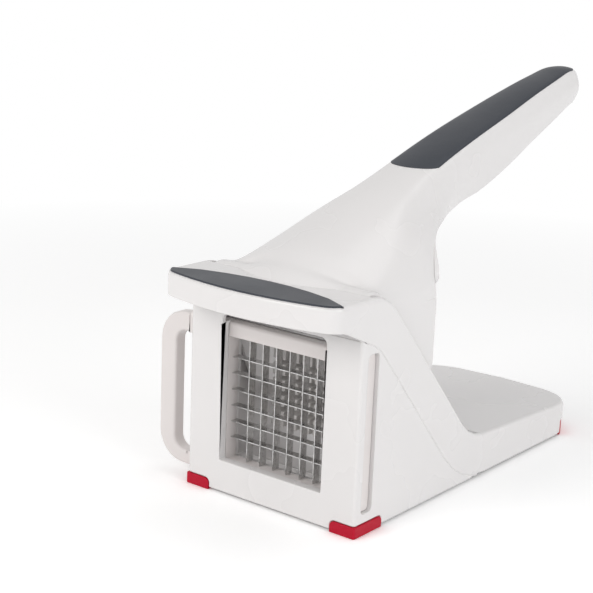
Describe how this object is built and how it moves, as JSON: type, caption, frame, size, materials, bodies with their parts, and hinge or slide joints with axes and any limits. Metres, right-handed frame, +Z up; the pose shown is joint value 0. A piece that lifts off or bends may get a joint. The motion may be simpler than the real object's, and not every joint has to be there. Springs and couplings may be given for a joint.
{
  "type": "french fry cutter",
  "caption": "Hand-pressed french fry cutter: a hinged lever drives a studded plate at a square blade grid in a cassette that slides out of the side of a box on rubber feet",
  "frame": {"origin": "centre of the bounding box's base, on the surface the feet stand on, with the lever half pressed", "axes": "+X to the right of someone who faces the front panel from behind the box, with the pull loop on the -X side; +Y from the front panel to the rear plate; +Z up"},
  "size_m": [0.1492, 0.3548, 0.2311],
  "materials": {
    "body": "smooth moulded gloss, faint moulding grain",
    "cassette": "smooth moulded plastic, slightly warmer than the body",
    "pusher": "moulded satin plastic",
    "pan": "moulded satin plastic",
    "bushes": "plain bearing plastic",
    "grip": "satin soft-touch rubber",
    "feet": "smooth soft rubber",
    "blades": "ground along the edge",
    "fittings": "drawn wire and sheet, plain"
  },
  "bodies": {
    "housing": {"lower_housing": "body", "top_cover": "body", "front_grip_pad": "grip", "base_pan": "pan", "lever_axle": "fittings", "link_pin_left": "fittings", "link_pin_right": "fittings", "foot_front_left": "feet", "foot_front_right": "feet", "foot_rear_left": "feet", "foot_rear_right": "feet", "base_screw_1": "fittings", "base_screw_2": "fittings", "base_screw_3": "fittings", "base_screw_4": "fittings", "base_screw_5": "fittings", "base_screw_6": "fittings"},
    "lever": {"lever_shell": "body", "handle_underside": "body", "handle_grip_pad": "grip", "pusher_hinge_rod": "fittings", "pivot_bush_left": "bushes", "pivot_bush_right": "bushes", "hinge_clip_left": "fittings", "hinge_clip_right": "fittings", "handle_screw_1": "fittings", "handle_screw_2": "fittings", "handle_screw_3": "fittings"},
    "pusher": {"pusher_plate": "pusher", "pusher_carrier": "pusher", "guide_pin_left": "fittings", "guide_pin_right": "fittings", "pusher_screw_1": "fittings", "pusher_screw_2": "fittings", "pusher_screw_3": "fittings", "pusher_screw_4": "fittings"},
    "left_link": {"guide_link_left": "fittings"},
    "right_link": {"guide_link_right": "fittings"},
    "cassette": {"cassette_frame": "cassette", "vertical_blade_1": "blades", "vertical_blade_2": "blades", "vertical_blade_3": "blades", "vertical_blade_4": "blades", "vertical_blade_5": "blades", "vertical_blade_6": "blades", "horizontal_blade_1": "blades", "horizontal_blade_2": "blades", "horizontal_blade_3": "blades", "horizontal_blade_4": "blades", "horizontal_blade_5": "blades", "horizontal_blade_6": "blades"}
  },
  "joints": [
    {"name": "lever_hinge", "type": "hinge", "parent": "housing", "child": "lever", "pos_m": [0.01435, -0.1286, 0.116], "axis": [1, 0, 0], "range_deg": [-21.3, 35]},
    {"name": "pusher_pivot", "type": "hinge", "parent": "lever", "child": "pusher", "pos_m": [0.01435, -0.0868, 0.04779], "axis": [1, 0, 0], "range_deg": [-35, 21.3]},
    {"name": "left_link_pivot", "type": "hinge", "parent": "housing", "child": "left_link", "pos_m": [-0.0403, -0.1086, 0.104], "axis": [1, 0, 0], "range_deg": [-21.3, 35]},
    {"name": "right_link_pivot", "type": "hinge", "parent": "housing", "child": "right_link", "pos_m": [0.069, -0.1086, 0.104], "axis": [1, 0, 0], "range_deg": [-21.3, 35]},
    {"name": "cassette_slide", "type": "slide", "parent": "housing", "child": "cassette", "axis": [-1, 0, 0], "range_m": [0, 0.11]}
  ],
  "couplings": [
    {"joint": "pusher_pivot", "follows": "lever_hinge", "ratio": -1},
    {"joint": "left_link_pivot", "follows": "lever_hinge", "ratio": 1},
    {"joint": "right_link_pivot", "follows": "lever_hinge", "ratio": 1}
  ]
}
